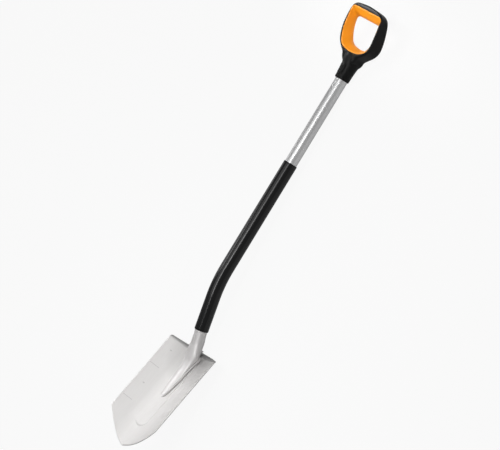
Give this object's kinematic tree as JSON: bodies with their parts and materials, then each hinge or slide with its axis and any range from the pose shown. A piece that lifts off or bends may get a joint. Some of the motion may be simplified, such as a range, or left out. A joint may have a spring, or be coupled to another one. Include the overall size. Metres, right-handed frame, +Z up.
{
  "type": "pointed spade",
  "caption": "Pointed digging spade: dished steel blade with a folded tread, bent steel tube shaft with a black sleeve, and a closed D handle with an orange inner grip.",
  "frame": {"origin": "centre of the overall box at floor level, with the spade lying on its back", "axes": "+X runs along the spade from the blade's point to the handle, +Z is up, out of the hollow of the blade, and +Y is to the left of a user who digs towards -X"},
  "size_m": [1.1956, 0.1862, 0.107],
  "materials": {
    "satin_steel": "satin, brushed along the blade",
    "tube_steel": "satin",
    "weld_steel": "rippled weld metal",
    "sleeve_plastic": "semi-gloss black",
    "black_plastic": "fine matt texture",
    "orange_plastic": "soft matt orange",
    "zinc_screw": "zinc plated"
  },
  "bodies": {
    "root": {"blade": "satin_steel", "shaft_tube": "tube_steel", "weld_left": "weld_steel", "weld_right": "weld_steel", "weld_tread": "weld_steel", "grip_sleeve": "sleeve_plastic", "handle_body": "black_plastic", "handle_liner": "orange_plastic", "handle_screw": "zinc_screw"}
  },
  "joints": []
}
